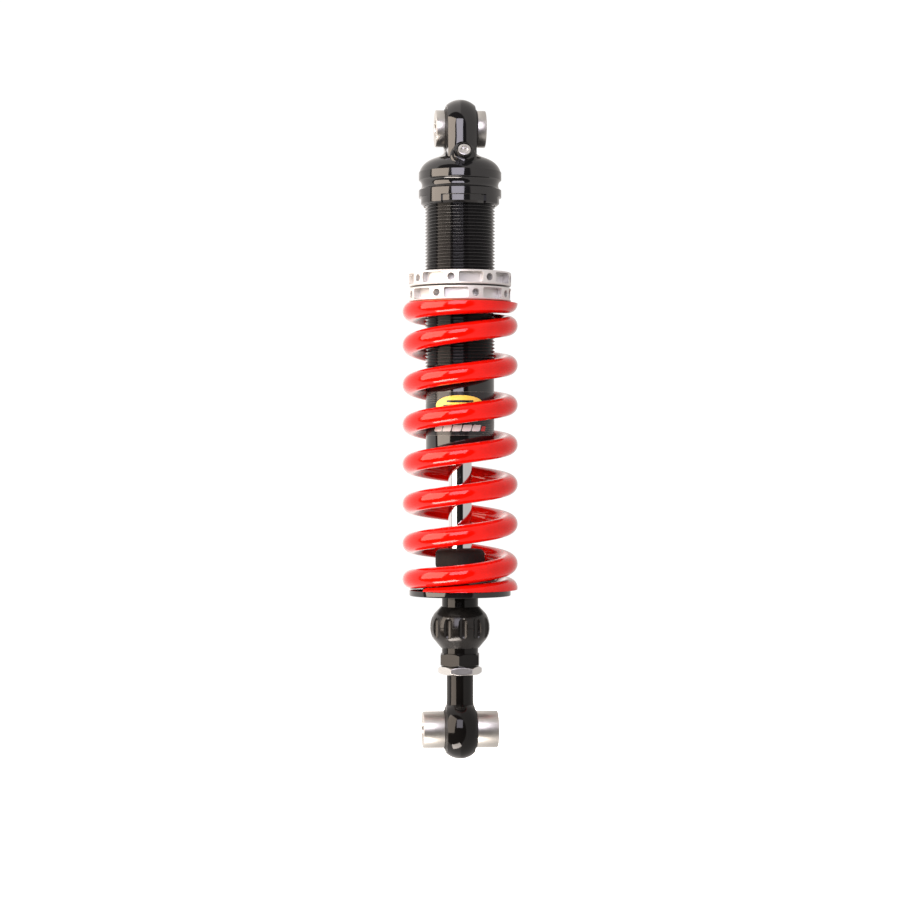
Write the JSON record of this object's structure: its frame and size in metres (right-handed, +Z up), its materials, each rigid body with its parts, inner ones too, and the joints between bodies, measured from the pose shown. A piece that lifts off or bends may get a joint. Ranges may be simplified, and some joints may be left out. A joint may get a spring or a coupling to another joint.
{
  "type": "coilover damper",
  "caption": "Upright threaded-body coilover damper: red coil spring between two silver preload rings and a black seat, with a clamped spherical-bearing eye at each end.",
  "frame": {"origin": "centre of the upper eye's spherical bearing", "axes": "+X along both bolt bores, +Z up the damper's axis, -Y the front, where the gas valve looks out"},
  "size_m": [0.07, 0.0702, 0.395],
  "materials": {
    "black_anodised": "gloss black anodised",
    "clear_anodised": "turned, clear anodised",
    "plated_steel": "zinc plated",
    "bearing_steel": "ground",
    "chromed_steel": "hard chromed, polished",
    "spring_red": "gloss powder coat",
    "bump_foam": "closed-cell foam",
    "seal_rubber": "moulded",
    "bronze_band": "filled bearing strip",
    "label_film": "printed film"
  },
  "bodies": {
    "upper_mount": {"upper_spacer_left": "clear_anodised", "upper_spacer_right": "clear_anodised", "upper_ball": "bearing_steel", "upper_seal_left": "seal_rubber", "upper_seal_right": "seal_rubber"},
    "damper_body": {"head": "black_anodised", "upper_race": "bearing_steel", "upper_circlip_left": "bearing_steel", "upper_circlip_right": "bearing_steel", "gas_valve_plug": "black_anodised", "gas_valve_screw": "plated_steel", "tube": "black_anodised", "label": "label_film", "seal_head": "clear_anodised", "rod_seal": "seal_rubber", "wiper": "seal_rubber", "seal_head_circlip": "bearing_steel", "coil_spring": "spring_red"},
    "floating_piston": {"floating_piston": "clear_anodised", "floating_piston_ring": "seal_rubber"},
    "spring_perch": {"slip_washer": "bronze_band"},
    "adjuster_ring": {"adjuster_ring": "clear_anodised"},
    "lock_ring": {"lock_ring": "clear_anodised"},
    "rod": {"rod": "chromed_steel", "rebound_pushrod": "plated_steel", "piston": "clear_anodised", "piston_band": "bronze_band", "compression_shims": "bearing_steel", "rebound_shims": "bearing_steel", "rebound_plate": "plated_steel", "top_out_spacer": "seal_rubber", "piston_nut": "plated_steel"},
    "rod_end": {"shaft_end": "black_anodised", "lower_seat": "black_anodised", "bump_stop": "bump_foam", "lock_nut": "plated_steel"},
    "rebound_knob": {"rebound_knob": "black_anodised"},
    "lower_eye": {"lower_eye": "black_anodised", "lower_race": "bearing_steel", "lower_circlip_left": "bearing_steel", "lower_circlip_right": "bearing_steel"},
    "lower_mount": {"lower_spacer_left": "clear_anodised", "lower_spacer_right": "clear_anodised", "lower_ball": "bearing_steel", "lower_seal_left": "seal_rubber", "lower_seal_right": "seal_rubber"}
  },
  "joints": [
    {"name": "upper_swing", "type": "hinge", "parent": "upper_mount", "child": "damper_body", "pos_m": [0, 0, 0], "axis": [1, 0, 0], "range_deg": [-40, 40]},
    {"name": "compression", "type": "slide", "parent": "damper_body", "child": "rod", "axis": [0, 0, 1], "range_m": [0, 0.051], "stiffness_N_per_m": 90000, "springref_m": -0.005, "deforming": ["coil_spring"]},
    {"name": "floating_piston_slide", "type": "slide", "parent": "damper_body", "child": "floating_piston", "axis": [0, 0, 1], "range_m": [0, 0.009]},
    {"name": "adjuster_turn", "type": "hinge", "parent": "spring_perch", "child": "adjuster_ring", "pos_m": [0, 0, -0.1], "axis": [0, 0, 1], "range_deg": [-1440, 720]},
    {"name": "preload_travel", "type": "slide", "parent": "damper_body", "child": "spring_perch", "axis": [0, 0, 1], "range_m": [-0.0085, 0.0045], "deforming": ["coil_spring"]},
    {"name": "lock_ring_turn", "type": "hinge", "parent": "spring_perch", "child": "lock_ring", "pos_m": [0, 0, -0.09], "axis": [0, 0, 1], "range_deg": [-1450, 730]},
    {"name": "rod_swivel", "type": "hinge", "parent": "rod", "child": "rod_end", "pos_m": [0, 0, -0.28], "axis": [0, 0, 1], "continuous": true},
    {"name": "rebound_knob_turn", "type": "hinge", "parent": "rod_end", "child": "rebound_knob", "pos_m": [0, 0, -0.2986], "axis": [0, 0, 1], "range_deg": [-540, 540]},
    {"name": "length_adjust", "type": "slide", "parent": "rod_end", "child": "lower_eye", "axis": [0, 0, 1], "range_m": [-0.005, 0]},
    {"name": "lower_swing", "type": "hinge", "parent": "lower_eye", "child": "lower_mount", "pos_m": [0, 0, -0.36], "axis": [1, 0, 0], "continuous": true}
  ],
  "couplings": [
    {"joint": "floating_piston_slide", "follows": "compression", "ratio": 0.1512},
    {"joint": "preload_travel", "follows": "adjuster_turn", "m_per_rad": 0.00031831},
    {"joint": "lock_ring_turn", "follows": "adjuster_turn", "ratio": 1}
  ]
}
